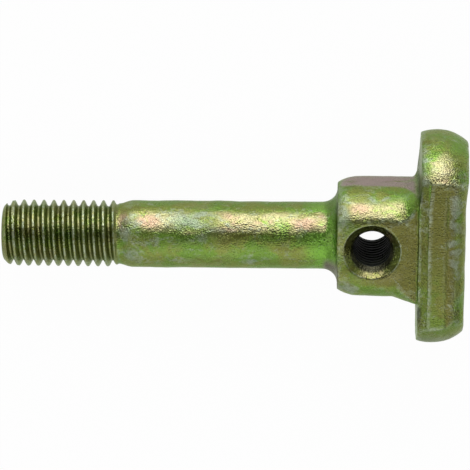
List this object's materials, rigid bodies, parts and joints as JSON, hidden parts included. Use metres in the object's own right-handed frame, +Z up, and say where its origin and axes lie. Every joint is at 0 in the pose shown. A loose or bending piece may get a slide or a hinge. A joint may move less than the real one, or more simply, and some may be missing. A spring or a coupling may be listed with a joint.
{
  "type": "hammer-head clamp bolt",
  "caption": "Hammer-head (T-head) bolt with a rolled metric thread, plain shank, and a block neck with a tapped cross hole, for clamping a slotted bracket.",
  "frame": {"origin": "on the floor, under the middle of the bolt as it lies at rest", "axes": "+X along the bolt towards its head, +Y along the head bar, +Z up, nearly along the cross hole"},
  "size_m": [0.0698, 0.0328, 0.0177],
  "materials": {
    "yellow_zinc": "yellow passivated zinc plate on forged steel, olive green to gold with pink patches"
  },
  "bodies": {
    "root": {"hammer_head_bolt": "yellow_zinc"}
  },
  "joints": []
}
